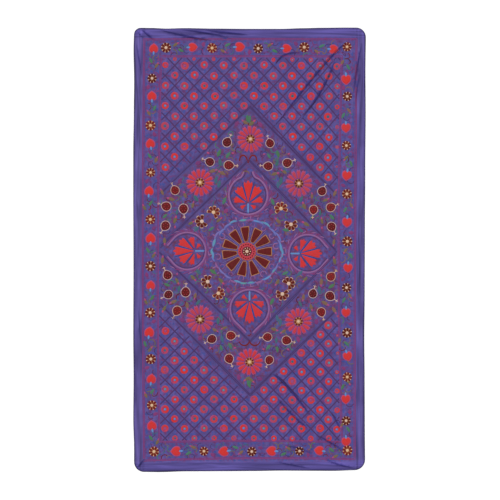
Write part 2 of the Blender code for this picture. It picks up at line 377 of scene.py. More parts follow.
def start_finish(name, **constants):
    """A material whose constant values are set on its shader. Gives it, its shader and its wiring."""
    material = bpy.data.materials.new(name)
    material.use_nodes = True
    shader = material.node_tree.nodes["Principled BSDF"]
    for node in material.node_tree.nodes:
        node.location.x += SHADER_COLUMN
    for label, value in constants.items():
        shader.inputs[label.replace("_", " ")].default_value = value
    return material, shader, Wiring(material.node_tree)


def silk_weave():
    """The plain weave of the silk: warp and weft threads with slubs."""
    wiring, given = start_group("silk_weave", {"Place": None, "Closeness": WEAVE_CLOSENESS})
    split = wiring.add("ShaderNodeSeparateXYZ", {0: given["Place"]})
    warp, weft = (
        wiring.maths("SINE", wiring.maths("MULTIPLY", across, given["Closeness"])) for across in split[:2]
    )
    crossings = wiring.maths("MULTIPLY", warp, weft)
    slubs = wiring.noise(wiring.stretch(given["Place"], SLUB_CLOSENESS), detail=3.0)
    return end_group(wiring, {"Height": wiring.maths("MULTIPLY_ADD", crossings, WEAVE_SHARE, slubs)})


def cloth_wrinkles():
    """Long soft wrinkles in one area: their height, and the painted shade and light that they put in the
    colour.
    """
    inputs = {"Place": None, "Closeness": None, "Area": 1.0, "Shading": 1.0}
    wiring, given = start_group("cloth_wrinkles", inputs)
    folds = wiring.noise(wiring.stretch(given["Place"], given["Closeness"]), detail=2.5, distortion=0.6)
    height = wiring.maths("MULTIPLY", folds, given["Area"])
    strength = wiring.maths("MULTIPLY", given["Area"], given["Shading"])
    light = wiring.maths("MULTIPLY_ADD", wiring.maths("SUBTRACT", folds, 0.5), strength, 1.0)
    return end_group(wiring, {"Height": height, "Light": light})


def silk_dye(wiring, place):
    """The silk's colour: warp streaks in faded patches, with plum, blue and wine casts in the field, and
    painted shade along the creases.
    """
    streaks = wiring.noise(wiring.stretch(place, STREAK_CLOSENESS), detail=4.0)
    fading = wiring.noise(place, FADING_CLOSENESS, detail=3.0)
    faded = wiring.between(wiring.maths("MULTIPLY", streaks, fading), *FADED)
    colour = wiring.mix(faded, SILK_COLOUR, SILK_LIGHT)
    colour = wiring.mix(wiring.area("end_margin"), colour, SILK_AT_ENDS)
    for number, (area, cast, closeness, low, high) in enumerate(CASTS):
        shift = (CAST_SHIFT[0] * number, CAST_SHIFT[1] * number, 0.0)
        patches = wiring.noise(wiring.stretch(place, shift=shift), closeness)
        in_area = wiring.maths("MULTIPLY", wiring.between(patches, low, high), wiring.area(area))
        colour = wiring.mix(in_area, colour, cast)
    # painted shade: the colour goes towards the dark crease colour where the silk is creased
    return wiring.mix(wiring.maths("MULTIPLY", wiring.area("creased"), CREASE_SHADE_SHARE), colour, PAINTED_CREASE_SHADE)


def violet_silk():
    """Dyed silk, wrinkled in the margins and puckered in the field, with painted shade and light from the
    wrinkles and painted shade along rolls and creases.
    """
    material, shader, wiring = start_finish(
        "violet_silk", Roughness=0.55, Sheen_Weight=0.02, Sheen_Roughness=0.4, Specular_IOR_Level=0.08)
    place = wiring.add("ShaderNodeTexCoord")["Object"]
    weave = wiring.add("ShaderNodeGroup", {0: place}, node_tree=silk_weave())
    normal = wiring.bump(weave["Height"], strength=0.35, distance=0.0002)
    # light multiplies the dye: painted shade and light from the wrinkles, painted shade on the rolled edge,
    # and the strips' darker tone
    light = 1.0
    wrinkles = cloth_wrinkles()
    for area, closeness, depth, shading in WRINKLES:
        inputs = {"Place": place, "Closeness": closeness, "Area": wiring.area(area), "Shading": shading}
        folds = wiring.add("ShaderNodeGroup", inputs, node_tree=wrinkles)
        normal = wiring.bump(folds["Height"], strength=0.9, distance=depth, Normal=normal)
        light = wiring.maths("MULTIPLY", light, folds["Light"])
    for area, darkening in DARKER:
        dimmed = wiring.maths("MULTIPLY_ADD", wiring.area(area), darkening, 1.0)
        light = wiring.maths("MULTIPLY", light, dimmed)
    wiring.fill(shader.inputs["Normal"], normal)
    wiring.fill(shader.inputs["Base Color"], wiring.mix(1.0, silk_dye(wiring, place), light, "MULTIPLY"))
    return material


def put_in_scene(name, data):
    """An object for a mesh, a lamp or a camera."""
    thing = bpy.data.objects.new(name, data)
    bpy.context.scene.collection.objects.link(thing)
    return thing


def new_piece(name, mesh, material):
    """A piece made of a mesh and its material."""
    mesh.materials.append(material)
    return put_in_scene(name, mesh)


silk_ground = new_piece("silk_ground", silk_mesh, violet_silk())
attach(silk_ground, "root")
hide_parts("suzani_cloth")


# Two frames of magenta thread hold the design: one outside the border strip and one inside it.
# Each is a pair of narrow rows of chain stitch, worked straight onto the silk with a hook.
PAD = 0.0010  # the height of a filled shape; every stitched shape's rise is a share of it
ROW_RISE = 0.8
SINK = 0.0003  # a stitched shape's edge goes this far into the cloth
ACROSS = 4  # faces across a row of stitches
PATCH_RINGS = ((0.90, 0.78), (0.66, 1.0), (0.33, 1.05))  # how far out, and how high
STITCH_LENGTH = 0.0034
STITCH_ROW = 0.0019
STITCH_STAGGER = 0.37  # how far each row's stitches lie behind the last row's, in stitches
STITCH_SLANT = 0.45
STITCH_WAVE = 0.22  # how much of a row's height rises and falls with its stitches
MOTTLE_CLOSENESS = 130.0
TWO_SHADES = (0.45, 1.45)  # the noise at which a thread is all of its first and second shade
# the thread's colour is scaled by THREAD_LIGHT on the stitches' tops, where no painted shade falls
THREAD_LIGHT = 1.08
# painted shade on the thread where the cloth is creased
THREAD_CREASE_SHADE = -0.45
# painted shade in the hollows between the stitches
SHADE_BETWEEN_STITCHES = -0.30
FRAME_ROW = 0.0046
FRAME_PAIR = 0.0054  # between the two rows of a frame
FRAME_STEP = 0.012
# corners: left, right, top and bottom at the start and end of a side; bow: the drift at mid-side
OUTER_FRAME = {
    "corners": [(-0.452, 0.904), (-0.452, -0.905), (0.451, -0.899), (0.459, 0.904)],
    "bows": [(-0.006, 0.0), (0.0, 0.007), (-0.002, 0.0), (0.0, 0.001)],
}
INNER_FRAME = {
    "corners": [(-0.381, 0.831), (-0.388, -0.826), (0.397, -0.826), (0.397, 0.831)],
    "bows": [(-0.010, 0.0), (0.0, 0.005), (-0.014, 0.0), (0.0, 0.001)],
}
threads = {}


def chain_stitch():
    """Rows of chain stitch along the first direction of a UV map that is in metres."""
    inputs = {"UV": None, "Stitch Length": STITCH_LENGTH, "Row Width": STITCH_ROW}
    wiring, given = start_group("chain_stitch", inputs)
    maths = wiring.maths
    split = wiring.add("ShaderNodeSeparateXYZ", {0: given["UV"]})
    row_place = maths("DIVIDE", split["Y"], given["Row Width"])
    aside = maths("ABSOLUTE", maths("MULTIPLY_ADD", maths("FRACT", row_place), 2.0, -1.0))
    rounded = maths("SUBTRACT", 1.0, maths("MULTIPLY", aside, aside))
    along = maths("DIVIDE", split["X"], given["Stitch Length"])
    staggered = maths("MULTIPLY_ADD", maths("FLOOR", row_place), STITCH_STAGGER, along)
    slanted = maths("MULTIPLY_ADD", aside, STITCH_SLANT, staggered)
    wave = maths("SINE", maths("MULTIPLY", slanted, math.tau))
    height = maths("MULTIPLY", rounded, maths("MULTIPLY_ADD", wave, STITCH_WAVE, 1.0 - STITCH_WAVE))
    # Hollow: how far below a stitch's top a place lies, which sets the thread's painted shade
    return end_group(wiring, {"Height": height, "Hollow": maths("SUBTRACT", 1.0, height)})


chain_stitch_group = chain_stitch()


def dye_thread(name, colour, second_colour):
    """Silk thread, dyed by hand between two shades, worked in rows of chain stitch, with painted shade
    where the cloth is creased and between the stitches.
    """
    material, shader, wiring = start_finish(
        f"{name}_thread", Roughness=0.5, Sheen_Weight=0.02, Sheen_Roughness=0.35, Specular_IOR_Level=0.1)
    inputs = {"UV": wiring.add("ShaderNodeUVMap", uv_map="stitches")[0],
              "Stitch Length": STITCH_LENGTH, "Row Width": STITCH_ROW}
    chain = wiring.add("ShaderNodeGroup", inputs, node_tree=chain_stitch_group)
    uneven = wiring.noise(wiring.add("ShaderNodeTexCoord")["Object"], MOTTLE_CLOSENESS)
    shade = wiring.between(wiring.maths("ADD", uneven, wiring.area("dye")), *TWO_SHADES)
    dyed = wiring.mix(shade, (*colour, 1.0), (*second_colour, 1.0))
    # painted shade on the thread where the cloth is creased
    light = wiring.maths("MULTIPLY_ADD", wiring.area("creased"), THREAD_CREASE_SHADE, THREAD_LIGHT)
    # painted shade in the hollows between the stitches
    light = wiring.maths("MULTIPLY_ADD", chain["Hollow"], SHADE_BETWEEN_STITCHES, light)
    wiring.fill(shader.inputs["Base Color"], wiring.mix(1.0, dyed, light, "MULTIPLY"))
    wiring.fill(shader.inputs["Normal"], wiring.bump(chain["Height"], strength=0.7, distance=0.0005))
    threads[name] = material


def as_shape(bm):
    """A finished bmesh as arrays of corners, triangles and UVs, ready to be copied many times."""
    bmesh.ops.triangulate(bm, faces=bm.faces[:])
    bm.verts.index_update()
    stitches = bm.loops.layers.uv["stitches"]
    shape = {
        "corners": np.array([vertex.co[:] for vertex in bm.verts]),
        "triangles": np.array([[vertex.index for vertex in face.verts] for face in bm.faces]),
        "uvs": np.array([[loop[stitches].uv[:] for loop in face.loops] for face in bm.faces]),
    }
    bm.free()
    return shape


def stitched_row(path, width, rise=ROW_RISE, closed=False, taper=0.0):
    """A low rounded ridge along a path: one row of chain stitch. taper narrows its ends."""
    line = np.array(path, dtype=float)
    last = len(line) - 1
    distance = np.append(0.0, np.cumsum(np.linalg.norm(np.diff(line, axis=0), axis=1)))
    along = np.gradient(line, axis=0)
    if closed:
        along[0] = along[last] = line[1] - line[last - 1]
    along /= np.linalg.norm(along, axis=1)[:, None]
    bm = bmesh.new()
    stitches = bm.loops.layers.uv.new("stitches")
    bmesh.ops.create_grid(bm, x_segments=last, y_segments=ACROSS, size=0.5)
    grid_place = {}
    for vertex in bm.verts:
        n = round((vertex.co.x + 0.5) * last)
        share = vertex.co.y * 2.0
        ends = math.sin(math.pi * n / last) if taper else 1.0
        aside = share * width / 2 * (1.0 - taper + taper * ends)
        grid_place[vertex] = (distance[n], share * width / 2)
        x, y = line[n] + np.array((-along[n][1], along[n][0])) * aside
        vertex.co = (x, y, PAD * rise * (1.0 - share * share))
    for face in bm.faces:
        for loop in face.loops:
            loop[stitches].uv = grid_place[loop.vert]
    if closed:
        bmesh.ops.remove_doubles(bm, verts=bm.verts[:], dist=1e-5)
    return as_shape(bm)


def stitched_patch(outline, rise=1.0, grain=0.0, centre=None):
    """A filled shape, raised like a low pad. grain: the angle that its rows of stitches follow."""
    if centre is None:
        centre = np.mean(outline, axis=0)
    bm = bmesh.new()
    stitches = bm.loops.layers.uv.new("stitches")
    rim = bmesh.ops.create_circle(bm, cap_ends=True, radius=1.0, segments=len(outline))["verts"]
    middle = Vector((*centre, 0.0))
    ordered = sorted(rim, key=lambda vertex: math.atan2(vertex.co.y, vertex.co.x) % math.tau)
    for vertex, point in zip(ordered, outline):
        vertex.co = (point[0], point[1], 0.0)
    cap = bm.faces[:][0]
    cap.normal_update()
    if cap.normal.z < 0.0:
        cap.normal_flip()
    drawn = 1.0
    for reach, share in PATCH_RINGS:
        bmesh.ops.inset_individual(bm, faces=[cap], thickness=0.0)
        for vertex in cap.verts:
            vertex.co = middle + (vertex.co - middle) * (reach / drawn)
            vertex.co.z = PAD * rise * share
        drawn = reach
    bmesh.ops.poke(bm, faces=[cap])
    turn = Matrix.Rotation(-grain, 2)
    for face in bm.faces:
        for loop in face.loops:
            loop[stitches].uv = turn @ loop.vert.co.xy
    return as_shape(bm)


def placed(shape, degrees=0.0, place=(0.0, 0.0), size=1.0, taller=1.0, mirrored=False):
    """A shape mirrored, turned, sized and moved."""
    x, y, z = shape["corners"].T
    order = 1
    if mirrored:
        x, order = -x, -1
    turn = math.radians(degrees)
    cosine, sine = size * math.cos(turn), size * math.sin(turn)
    corners = (x * cosine - y * sine + place[0], x * sine + y * cosine + place[1], z * taller)
    return {
        "corners": np.stack(corners, axis=1),
        "triangles": shape["triangles"][:, ::order],
        "uvs": shape["uvs"][:, ::order] * size,
    }


class Needlework:
    """Stitched shapes of one kind, gathered thread by thread until they are sewn down."""

    def __init__(self, name):
        self.name = name
        self.gathered = {}
        self.places = []

    def work(self, motif, place=(0.0, 0.0), turn=0.0, size=1.0, mirrored=False, dye=None):
        """Adds a motif, a list of threads with their shapes, at a place on the cloth."""
        dye = hand.uniform(0.0, 1.0) if dye is None else dye
        self.places.append(place)
        for thread, shape in motif:
            copy = placed(shape, math.degrees(turn), place, size, mirrored=mirrored)
            copy["dye"] = np.full(len(copy["corners"]), dye)
            self.gathered.setdefault(thread, []).append(copy)

    def sew(self):
        """Makes one piece for each thread, lying on the cloth's face."""
        pieces = []
        for thread, shapes in self.gathered.items():
            first = 0
            for shape in shapes:
                shape["triangles"] = shape["triangles"] + first
                first += len(shape["corners"])
            corners, triangles, uvs, dye = (np.concatenate([shape[part] for shape in shapes])
                                            for part in ("corners", "triangles", "uvs", "dye"))
            x, y = corners[:, 0], corners[:, 1]
            lift = cloth_lift(x, y)
            corners[:, 2] += lift + cloth_thickness(x, y) - SINK
            mesh = bpy.data.meshes.new(f"{self.name}_{thread}")
            mesh.from_pydata(corners.tolist(), [], triangles.tolist())
            mesh.uv_layers.new(name="stitches").data.foreach_set("uv", uvs.ravel())
            # creased tells the thread's material where to paint the shade of a crease
            mark_areas(mesh, {"dye": dye, "creased": eased(lift / CREASE_SHADED)})
            mesh.shade_smooth()
            piece = new_piece(mesh.name, mesh, threads[thread])
            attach(piece, "root")
            pieces.append(piece)
        return pieces


def frame_side(frame_sizes, side, share, inward=0.0):
    """A place on one side of a frame, from its first corner (share 0) to its next (share 1)."""
    first, second = (np.array(frame_sizes["corners"][n % 4]) for n in (side, side + 1))
    bow = np.array(frame_sizes["bows"][side]) * math.sin(math.pi * share)
    along = (second - first) / np.linalg.norm(second - first)
    return first + (second - first) * share + bow + np.array((-along[1], along[0])) * inward


def frame_path(frame_sizes, inward):
    """A closed path round a frame, moved in by inward."""
    path = []
    for side in range(4):
        length = math.dist(frame_sizes["corners"][side], frame_sizes["corners"][side - 3])
        cut = inward / length
        shares = np.linspace(cut, 1.0 - cut, round(length / FRAME_STEP))
        path += [frame_side(frame_sizes, side, share, inward) for share in shares[:-1]]
    return path + [path[0]]


dye_thread("plum", (0.215, 0.038, 0.150), (0.150, 0.034, 0.145))
frames = Needlework("frames")
for sizes in (OUTER_FRAME, INNER_FRAME):
    for inward in (-FRAME_PAIR / 2, FRAME_PAIR / 2):
        frames.work([("plum", stitched_row(frame_path(sizes, inward), FRAME_ROW, closed=True))])
embroidery = frames.sew()


# Above and below the middle the field is a lattice of dark rows crossing on the slant, with a
# ring in every opening. A ring is three rounds of red chain stitch about a small bright knot.
RING_COLUMNS = (-0.363, -0.280, -0.196, -0.110, -0.024, 0.062, 0.144, 0.223, 0.303, 0.376)
UPPER_RINGS = {"first": 0.792, "pitch": -0.0436, "rows": 14, "drift": 0.004}
LOWER_RINGS = {"first": -0.267, "pitch": -0.0417, "rows": 14, "drift": 0.020}
RING_RADIUS = 0.0172
RING_HOLE = 0.0060
RING_KNOT = 0.0050
KNOT_THREADS = ("sky", "sky", "sky", "teal", "pink")  # the knot in a ring takes one of these
RING_ROUNDS = 3
# where a ring's thread changes shade: thread, how far out, how wide and how many degrees
RING_CHANGES = [("pink", 0.0136, 0.0066, 165), ("plum", 0.0112, 0.0044, 60)]
RING_STEPS = 26
RING_VALLEY = 0.55  # how high it is between two rounds
SMALLEST_RING = 0.009
TOP_ROW_DROP = 0.017  # the first row of rings is drawn in by this, to fit under the frame
UNEVEN = 0.0012
LATTICE_ROW = 0.0080
LATTICE_POINTS = 9
CLEAR_OF_FRAME = 0.0045
CLEAR_OF_DIAMOND = 0.014


def stitched_ring(outer, hole, rounds, rise=1.0):
    """Rounds of chain stitch about a hole."""
    bm = bmesh.new()
    stitches = bm.loops.layers.uv.new("stitches")
    corners = []
    for n in range(2 * rounds + 1):
        share = 0.0 if n in (0, 2 * rounds) else 1.0 if n % 2 else RING_VALLEY
        corners.append(bm.verts.new((hole + (outer - hole) * n / (2 * rounds), 0.0, PAD * rise * share)))
    profile = [bm.edges.new(pair) for pair in zip(corners, corners[1:])]
    bmesh.ops.spin(
        bm, geom=corners + profile, cent=(0, 0, 0), axis=(0, 0, 1), angle=math.tau,
        steps=RING_STEPS, use_merge=True,
    )
    bmesh.ops.recalc_face_normals(bm, faces=bm.faces[:])
    if sum(face.normal.z for face in bm.faces) < 0.0:
        bmesh.ops.reverse_faces(bm, faces=bm.faces[:])
    for face in bm.faces:
        centre = face.calc_center_median()
        facing = math.atan2(centre.y, centre.x)
        for loop in face.loops:
            corner = loop.vert.co
            angle = math.remainder(math.atan2(corner.y, corner.x) - facing, math.tau) + facing
            loop[stitches].uv = (angle * (outer + hole) / 2, corner.xy.length)
    return as_shape(bm)


def polar(reach, angle):
    """A place at a distance and an angle from the middle."""
    return reach * math.cos(angle), reach * math.sin(angle)


def arc(radius, start, end, count=9):
    """Points along part of a circle, from one angle to another in degrees."""
    return [polar(radius, angle) for angle in np.radians(np.linspace(start, end, count))]


def disc(radius, corners, rise, lobes=0, depth=0.0):
    """A round patch, or one with lobes."""
    angles = [math.tau * n / corners for n in range(corners)]
    outline = [polar(radius + depth * math.cos(lobes * angle), angle) for angle in angles]
    return stitched_patch(outline, rise)


def beyond(diamond, x, y):
    """How far a place is above the half diamond that its x is over, square to that side."""
    peak_x, peak_y = diamond[1]
    foot_x, foot_y = diamond[0] if x < peak_x else diamond[2]
    slope = (peak_y - foot_y) / (peak_x - foot_x)
    return (y - foot_y - slope * (x - foot_x)) / math.hypot(1.0, slope)


def inside_frame(x, y):
    """How far a place is inside the inner frame."""
    top_left, bottom_left = INNER_FRAME["corners"][:2]
    up = (y - bottom_left[1]) / (top_left[1] - bottom_left[1])
    left = frame_side(INNER_FRAME, 0, 1.0 - up)[0]
    right = frame_side(INNER_FRAME, 2, up)[0]
    return min(x - left, right - x, top_left[1] - y, y - bottom_left[1])


def lattice_place(rings, column, row):
    """Where the lattice's column and row meet. Even ones hold rings, odd ones are crossings."""
    half = column / 2
    low = min(max(math.floor(half), 0), len(RING_COLUMNS) - 2)
    x = RING_COLUMNS[low] + (RING_COLUMNS[low + 1] - RING_COLUMNS[low]) * (half - low)
    fall = rings["drift"] * max(0.0, x / RING_COLUMNS[-1]) * (1.0 - row / rings["rows"])
    return x, rings["first"] + rings["pitch"] * (row - 1) - fall


dye_thread("indigo", (0.052, 0.030, 0.124), (0.080, 0.028, 0.108))
dye_thread("red", (0.570, 0.028, 0.024), (0.390, 0.050, 0.082))
dye_thread("pink", (0.390, 0.056, 0.140), (0.300, 0.062, 0.200))
dye_thread("teal", (0.042, 0.120, 0.115), (0.055, 0.110, 0.190))
dye_thread("sky", (0.110, 0.230, 0.520), (0.100, 0.260, 0.300))
ring_rounds = stitched_ring(RING_RADIUS, RING_HOLE, RING_ROUNDS)
ring_knot = disc(RING_KNOT, corners=10, rise=0.8)
ring_changes = [(thread, stitched_row(arc(reach, 0, degrees), row_width, rise=1.25, taper=0.5))
                for thread, reach, row_width, degrees in RING_CHANGES]
rings = Needlework("rings")
lattice = Needlework("lattice")
for half, diamond, sign in ((UPPER_RINGS, UPPER_DIAMOND, 1.0), (LOWER_RINGS, LOWER_DIAMOND, -1.0)):
    for row in range(-1, half["rows"] + 1):
        for column in range(-1, 2 * len(RING_COLUMNS)):
            x, y = lattice_place(half, column, row)
            if (column + row) % 2:
                if sign * beyond(diamond, x, y) < CLEAR_OF_DIAMOND:
                    continue
                if row == 0:
                    y -= TOP_ROW_DROP
                room = inside_frame(x, y)
                if room < SMALLEST_RING:
                    continue
                size = min(1.0, (room - CLEAR_OF_FRAME) / RING_RADIUS) * hand.uniform(0.93, 1.05)
                place = (x + hand.normal(0, UNEVEN), y + hand.normal(0, UNEVEN))
                ring = [("red", ring_rounds), (KNOT_THREADS[hand.integers(len(KNOT_THREADS))], ring_knot)]
                rings.work(ring + ring_changes, place, hand.uniform(0, math.tau), size)
                continue
            for step in (-1, 1):
                slant = np.linspace((x, y), lattice_place(half, column + step, row + 1), LATTICE_POINTS)
                path = [place for place in slant if sign * beyond(diamond, *place) > LATTICE_ROW / 2
                        and inside_frame(*place) > CLEAR_OF_FRAME]
                if len(path) > 1:
                    lattice.work([("indigo", stitched_row(path, LATTICE_ROW, rise=0.64))])
embroidery += lattice.sew() + rings.sew()


# A wide band on the slant runs round the middle, between an outer and an inner diamond. Each edge
# is a pair of rows in dark thread, side by side on a strip of silk left plain.
EDGE_ROWS = (-0.0022, 0.0022)  # how far out the two rows of an edge lie
EDGE_ROW = 0.0050
DIAMOND_STEP = 0.014
DIAMOND_DRIFT = 0.0012


def straight_path(first, second):
    """Points from one place to another, with the small drift of handwork."""
    length = np.linalg.norm(second - first)
    along = (second - first) / length
    count = max(3, round(length / DIAMOND_STEP))
    wander = np.cumsum(hand.normal(0.0, DIAMOND_DRIFT / 3, count))
    wander -= np.linspace(wander[0], wander[-1], count)
    return np.linspace(first, second, count) + np.array((-along[1], along[0])) * wander[:, None]


def outset(corner, outward):
    """A diamond's corner moved straight out, so that its sides move out by outward."""
    moved = np.array(corner)
    axis = np.abs(moved).argmax()
    moved[axis] += np.sign(moved[axis]) * outward * math.sqrt(2.0)
    return moved


diamonds = Needlework("diamonds")
for corners in (UPPER_DIAMOND, LOWER_DIAMOND, INNER_DIAMOND):
    for first, second in zip(corners, corners[1:]):
        for outward in EDGE_ROWS:
            path = straight_path(outset(first, outward), outset(second, outward))
            path = [place for place in path if inside_frame(*place) > EDGE_ROW]
            diamonds.work([("indigo", stitched_row(path, EDGE_ROW))], dye=hand.uniform(0.0, 0.4))
embroidery += diamonds.sew()


# The border strip runs round between the frames. Along it go a red tulip with a blue foot, a
# stalk with two leaves, a maroon blossom and a plum spot, again and again, all one way round.
BLOSSOM_RADIUS = 0.0200
BLOSSOM_PETALS = 8
BLOSSOM_HEART = 0.0064
TULIP_FOOT = (0.020, 0.009)  # length and width
# one half of the tulip's outline, from the notch between its lobes to its tip
TULIP_HALF = [(0.0, -0.012), (0.004, -0.0165), (0.011, -0.0185), (0.0180, -0.014), (0.0208, -0.005),
              (0.0195, 0.005), (0.0145, 0.0130), (0.0075, 0.0185), (0.0, 0.0235)]
LEAF_SIZE = (0.032, 0.0130)
LEAF_TIP_SIZE = (0.0128, 0.0078)
LEAF_TIP_PLACE = (0.01152, 0.0)  # from the leaf's middle
LEAF_FULLNESS = 0.85
LEAF_LEAN = 0.3  # how much wider a leaf is towards its foot than towards its tip
PETAL_FULLNESS = 0.9
ROUNDED_FROM = 0.62  # the share of a petal's length at which its end starts to close
SPOT_SIZE = (0.025, 0.016)
SPOT_BEYOND, SPOT_ASIDE = 0.037, 0.016  # from the blossom, along the strip and to either side
STALK = [(0.0, -0.028), (0.002, -0.045), (0.005, -0.062), (0.004, -0.080), (0.0, -0.096)]
STALK_ROW = 0.0026
SIDE_WANDER = 0.0060  # how far a tulip may stand to either side of its line
BLOSSOM_WANDER = 0.0036
# the four sides: where the first tulip is, which way the side goes, how many and how far apart.
# drawn_back: how far the motifs at mid-side lie behind even spacing. corner_in: how far in its ends lie.
RUN_COLUMNS = ("x", "y", "along_x", "along_y", "count", "pitch", "blossom_lead", "blossom_pitch",
               "drawn_back", "corner_in")
BORDER_RUNS = [
    (-0.427, 0.865, 0, -1, 9, 0.2024, 0.127, 0.2006, -0.006, 0.013),
    (-0.316, -0.864, 1, 0, 4, 0.2050, 0.120, 0.2055, 0.0, 0.0),
    (0.420, -0.824, 0, 1, 9, 0.1956, 0.096, 0.2000, 0.036, 0.004),
    (0.362, 0.867, -1, 0, 4, 0.2020, 0.127, 0.1980, 0.0, 0.0),
]


def turned(motif, degrees, place=(0.0, 0.0)):
    """A motif turned and moved within a bigger one."""
    return [(thread, placed(shape, degrees, place)) for thread, shape in motif]


def all_round(motif, count, start=0.0):
    """Copies of a motif turned all round."""
    return [copy for n in range(count) for copy in turned(motif, start + 360.0 * n / count)]


def knots(thread, count, reach, radius):
    """A ring of round knots."""
    knot = disc(radius, corners=8, rise=1.5)
    return [(thread, placed(knot, place=polar(reach, math.tau * n / count))) for n in range(count)]


def mirrored_outline(side):
    """A petal's closed outline along +X, from one side that goes from foot to tip."""
    outline = [(x, -y) for x, y in side] + list(reversed(side))
    return [place for n, place in enumerate(outline) if math.dist(place, outline[n - 1]) > 1e-5]


def petal(start, end, foot, widest, blunt, rise):
    """A petal along +X from start to end. foot and widest are half widths. blunt squares its end."""
    side = []
    for share in np.linspace(0.0, 1.0, 6):
        spread = foot + (widest - foot) * share**PETAL_FULLNESS
        closed = max(0.0, share - ROUNDED_FROM) / (1.0 - ROUNDED_FROM)
        closing = math.sqrt(max(0.0, 1.0 - closed * closed))
        side.append((start + (end - start) * share, spread * (blunt + (1.0 - blunt) * closing)))
    return stitched_patch(mirrored_outline(side), rise)


def leaf_patch(length, width, rise=1.0):
    """A pointed leaf along +X about its middle."""
    side = []
    for share in np.linspace(0.0, 1.0, 6):
        lean = 1.0 + LEAF_LEAN * (0.5 - share)
        bulge = abs(math.sin(math.pi * share)) ** LEAF_FULLNESS * lean
        side.append((length * (share - 0.5), width / 2 * bulge))
    return stitched_patch(mirrored_outline(side), rise)


dye_thread("cream", (0.620, 0.400, 0.230), (0.600, 0.430, 0.360))
dye_thread("maroon", (0.165, 0.011, 0.013), (0.082, 0.007, 0.008))
dye_thread("gold", (0.440, 0.215, 0.075), (0.340, 0.145, 0.060))
dye_thread("green", (0.060, 0.150, 0.070), (0.060, 0.160, 0.120))
dye_thread("olive", (0.130, 0.110, 0.055), (0.190, 0.100, 0.070))

tulip_outline = TULIP_HALF + [(-x, y) for x, y in reversed(TULIP_HALF[1:-1])]
tulip_patch = stitched_patch(tulip_outline, grain=math.pi / 2, centre=(0.0, -0.003))
tulip = [
    ("pink", placed(tulip_patch, size=1.05)),
    ("red", placed(tulip_patch, size=0.90, taller=1.4)),
    ("sky", placed(leaf_patch(*TULIP_FOOT), degrees=90, place=(0.0, -0.020))),
]
blossom = [
    ("gold", disc(BLOSSOM_RADIUS, corners=32, rise=0.6, lobes=BLOSSOM_PETALS, depth=0.0018)),
    ("cream", disc(BLOSSOM_HEART, corners=12, rise=1.4)),
] + knots("cream", BLOSSOM_PETALS, reach=0.0175, radius=0.0024)
blossom_petal = petal(start=0.0056, end=0.0212, foot=0.0020, widest=0.0074, blunt=0.3, rise=1.15)
blossom += all_round([("maroon", blossom_petal)], BLOSSOM_PETALS, start=180.0 / BLOSSOM_PETALS)
leaf = leaf_patch(*LEAF_SIZE)
leaf_tip = leaf_patch(*LEAF_TIP_SIZE, rise=1.3)
olive_leaf = [("olive", leaf), ("pink", placed(leaf_tip, place=LEAF_TIP_PLACE))]
stalk = [
    ("teal", stitched_row(STALK, STALK_ROW)),
    ("green", placed(leaf, degrees=118, place=(-0.011, -0.052))),
    ("olive", placed(leaf, degrees=58, place=(0.015, -0.072))),
    ("pink", placed(leaf_tip, degrees=58, place=(0.020, -0.063))),
]
spot = [("plum", leaf_patch(*SPOT_SIZE))]

border = Needlework("border")
for values in BORDER_RUNS:
    run = dict(zip(RUN_COLUMNS, values))
    along = np.array((run["along_x"], run["along_y"]))
    square = np.array((-along[1], along[0]))
    heading = math.atan2(-along[1], -along[0]) - math.pi / 2
    length = run["blossom_lead"] + run["blossom_pitch"] * (run["count"] - 1)
    for n in range(run["count"]):
        places = []
        for distance, wander in (
            (run["pitch"] * n, SIDE_WANDER),
            (run["blossom_lead"] + run["blossom_pitch"] * n, BLOSSOM_WANDER),
        ):
            mid_side = math.sin(math.pi * distance / length)
            inward = run["corner_in"] * (1.0 - mid_side) ** 2 + hand.uniform(-1, 1) * wander
            drawn_along = along * (distance - run["drawn_back"] * mid_side)
            places.append(np.array((run["x"], run["y"])) + drawn_along + square * inward)
        tulip_place, blossom_place = places
        leaning = heading + hand.normal(0, 0.09)
        border.work(tulip, tulip_place, leaning, hand.uniform(0.96, 1.08), dye=hand.uniform(0.0, 0.15))
        border.work(stalk, tulip_place, leaning, 1.0, mirrored=bool(n % 2))
        border.work(blossom, blossom_place, hand.uniform(0, math.tau), hand.uniform(0.95, 1.08))
        if n < run["count"] - 1:
            aside = SPOT_ASIDE if n % 2 else -SPOT_ASIDE
            spot_place = blossom_place + along * SPOT_BEYOND + square * aside
            border.work(spot, spot_place, hand.uniform(0, math.pi))
embroidery += border.sew()


# Six big flowers stand in the slanting band: one over and one under the middle, and one at each
# quarter. Fourteen pink petals with red hearts stand about a gold eye with dark knots.
FLOWER_PETALS = 14
FLOWERS = [(0.004, 0.476), (-0.213, 0.289), (0.212, 0.285),
           (-0.213, -0.299), (0.210, -0.308), (0.000, -0.482)]
FLOWER_EYE = 0.0205
# a petal and its heart: thread, where they start and end, half their width and their rise
FLOWER_PETAL = [("pink", 0.021, 0.062, 0.0098, 1.0), ("red", 0.023, 0.0575, 0.0067, 1.45)]
# one side of a petal, which ends in two points: shares of its length and of its half width
NOTCHED_SIDE = [(0.0, 0.42), (0.35, 0.78), (0.62, 1.0), (0.84, 0.88), (0.99, 0.50), (0.89, 0.10)]


def ragged_petal(start, end, half_width, one_side, rise):
    """A petal along +X from start to end, alike on both sides."""
    side = [(start + (end - start) * along, half_width * aside) for along, aside in one_side]
    return stitched_patch(mirrored_outline(side), rise)


flower = [
    ("plum", disc(0.050, corners=24, rise=0.4)),
    ("gold", disc(FLOWER_EYE, corners=20, rise=1.0)),
    ("cream", disc(0.0070, corners=12, rise=1.6)),
] + knots("maroon", count=8, reach=0.0145, radius=0.0053)
for thread, start, end, half_width, rise in FLOWER_PETAL:
    flower += all_round([(thread, ragged_petal(start, end, half_width, NOTCHED_SIDE, rise))], FLOWER_PETALS)
flowers = Needlework("flowers")
for place in FLOWERS:
    flowers.work(flower, place, hand.uniform(0, math.tau), hand.uniform(0.97, 1.03))
embroidery += flowers.sew()


